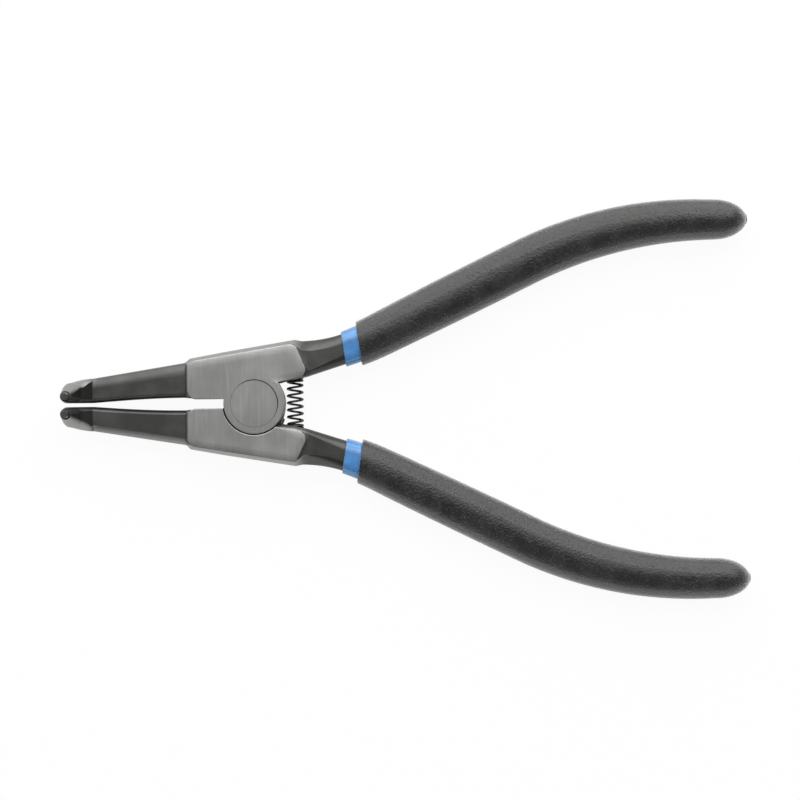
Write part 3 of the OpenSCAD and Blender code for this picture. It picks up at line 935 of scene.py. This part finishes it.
wireRadius, wireSides = 0.275, 14
spring = {                                     # named inputs of the tree
    "Wire Radius": wireRadius, "Coil Radius": (springHigh.x - springLow.x) / 2 / mm - wireRadius,
    "Closed Turns": 1.5, "Open Turns": 6.0, "Closed Pitch": 0.61, "Steps": 32.0,
    "Length": (springHigh.y - springLow.y) / mm}


def springTree():
    tree = bpy.data.node_groups.new("coilSpring", "GeometryNodeTree")
    for name in spring:
        tree.interface.new_socket(name, in_out="INPUT", socket_type="NodeSocketFloat")
    tree.interface.new_socket("Material", in_out="INPUT", socket_type="NodeSocketMaterial")
    tree.interface.new_socket("Geometry", in_out="OUTPUT", socket_type="NodeSocketGeometry")
    sheet = Sheet(tree)
    ask = sheet.node("NodeGroupInput")
    want = {socket.name: Wire(tree, socket) for socket in ask.outputs if socket.name}
    turns = want["Open Turns"] + want["Closed Turns"] * 2
    count = turns * want["Steps"] + 1
    line = sheet.out("GeometryNodeCurvePrimitiveLine")
    path = sheet.out("GeometryNodeResampleCurve", None, {"Curve": line, "Count": count})
    turn = sheet.out("GeometryNodeInputIndex") / want["Steps"]
    opened = (turn - want["Closed Turns"]).most(0.0).least(want["Open Turns"])
    room = want["Length"] - want["Wire Radius"] * 2 - want["Closed Turns"] * want["Closed Pitch"] * 2
    rise = (turn - opened) * want["Closed Pitch"] + opened * (room / want["Open Turns"])
    angle = turn * math.tau
    spot = sheet.out("ShaderNodeCombineXYZ", None, {
        "X": angle.cosine() * want["Coil Radius"],
        "Y": rise + want["Wire Radius"] - want["Length"] / 2,
        "Z": 0 - angle.sine() * want["Coil Radius"]})
    coil = sheet.out("GeometryNodeSetPosition", None, {"Geometry": path, "Position": spot})
    section = sheet.out("GeometryNodeCurvePrimitiveCircle", None, {
        "Resolution": wireSides, "Radius": want["Wire Radius"]})
    skin = sheet.out("GeometryNodeCurveToMesh", None, {
        "Curve": coil, "Profile Curve": section, "Fill Caps": True})
    soft = sheet.out("GeometryNodeSetShadeSmooth", None, {"Geometry": skin})
    real = sheet.out("GeometryNodeRealizeInstances", None, {"Geometry": soft})
    done = sheet.out("GeometryNodeSetMaterial", None, {"Geometry": real, "Material": want["Material"]})
    sheet.node("NodeGroupOutput", None, {"Geometry": done})
    return tree


def makeSpring():
    made = bpy.data.objects.new("returnSpringWire", bpy.data.meshes.new("returnSpringWire"))
    bpy.context.collection.objects.link(made)
    tree = springTree()
    modifier = made.modifiers.new("coil", "NODES")
    modifier.node_group = tree
    values = {**spring, "Material": oiledWire}
    for socket in tree.interface.items_tree:
        if socket.in_out == "INPUT":
            modifier[socket.identifier] = values[socket.name]
    bake(made)
    for vert in made.data.vertices:            # from millimetres round the origin to its place
        x, y, z = vert.co
        vert.co = ((x + springX) * mm, y * mm, (z + mid) * mm)
    return made


springPiece = makeSpring()
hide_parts("return_spring")
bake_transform(springPiece)
print("spring made")


# floor, light and camera; floor and lamps are in metres

table = {"half": 4.0, "below": 0.0003, "colour": (0.96, 0.96, 0.96, 1), "rough": 0.9, "glow": 0.95}


def makeFloor():
    bm = bmesh.new()
    bmesh.ops.create_grid(bm, x_segments=1, y_segments=1, size=table["half"])
    floor = meshObject("floor", bm)
    floor.location.z = -table["below"]
    made, sheet, shader = newMaterial("whiteTable")
    finishMaterial(sheet, shader, {"Base Color": table["colour"], "Roughness": table["rough"]})
    rays = sheet.node("ShaderNodeLightPath")
    seen = sheet.wire(rays, "Is Camera Ray").most(sheet.wire(rays, "Is Glossy Ray"))
    seen = seen.most(sheet.wire(rays, "Is Transmission Ray"))
    glow = sheet.out("ShaderNodeEmission", None, {"Color": (1, 1, 1, 1), "Strength": 1.0})
    mixed = sheet.out("ShaderNodeMixShader", None, {
        0: seen * table["glow"], 1: sheet.wire(shader), 2: glow})
    plug(sheet.tree, sheet.tree.nodes["Material Output"].inputs["Surface"], mixed)
    floor.data.materials.append(made)


lamps = {
    "sky": {"from": (0.03, 0.45, 1.12), "size": (2.2, 0.6), "power": 6.0},
    "key": {"from": (0.03, 1.0, 0.64), "size": (2.2, 1.5), "power": 29.0},
    "wall": {"from": (0.03, -1.1, 0.18), "size": (2.2, 0.45), "power": 5.2}}
lampTarget = Vector((34.7, 0, 5)) * mm
worldStrength = 0.12


def makeLights():
    for name, lamp in lamps.items():
        data = bpy.data.lights.new(name, "AREA")
        data.shape = "RECTANGLE"
        data.size, data.size_y = lamp["size"]
        data.energy = lamp["power"]
        made = bpy.data.objects.new(name, data)
        bpy.context.collection.objects.link(made)
        made.location = lamp["from"]
        made.rotation_euler = (lampTarget - made.location).to_track_quat("-Z", "Y").to_euler()
    world = bpy.data.worlds.new("studio")
    bpy.context.scene.world = world
    world.use_nodes = True
    sky = world.node_tree.nodes["Background"]
    sky.inputs["Color"].default_value = (1, 1, 1, 1)
    sky.inputs["Strength"].default_value = worldStrength


# the photo is 800 pixels wide, the pivot sits at this pixel and one pixel is this long there
view = {"pixels": 800, "pivotPixel": (255.0, 403.4), "pixelSize": 0.2395, "roll": 0.58,
        "distance": 650.0, "sensor": 36}


def makeCamera():
    data = bpy.data.cameras.new("topView")
    data.sensor_width = view["sensor"]
    data.lens = view["sensor"] * view["distance"] / (view["pixels"] * view["pixelSize"])
    made = bpy.data.objects.new("topView", data)
    bpy.context.collection.objects.link(made)
    half = view["pixels"] / 2
    x = (half - view["pivotPixel"][0]) * view["pixelSize"]
    y = (view["pivotPixel"][1] - half) * view["pixelSize"]
    roll = math.radians(view["roll"])
    spot = Vector((x * math.cos(roll) + y * math.sin(roll), y * math.cos(roll) - x * math.sin(roll),
                   mid + view["distance"]))
    made.location = spot * mm
    made.rotation_euler = (0, 0, -roll)
    bpy.context.scene.camera = made


makeFloor()
makeLights()
makeCamera()
bpy.context.scene.view_settings.view_transform = "Standard"
print("stage set")
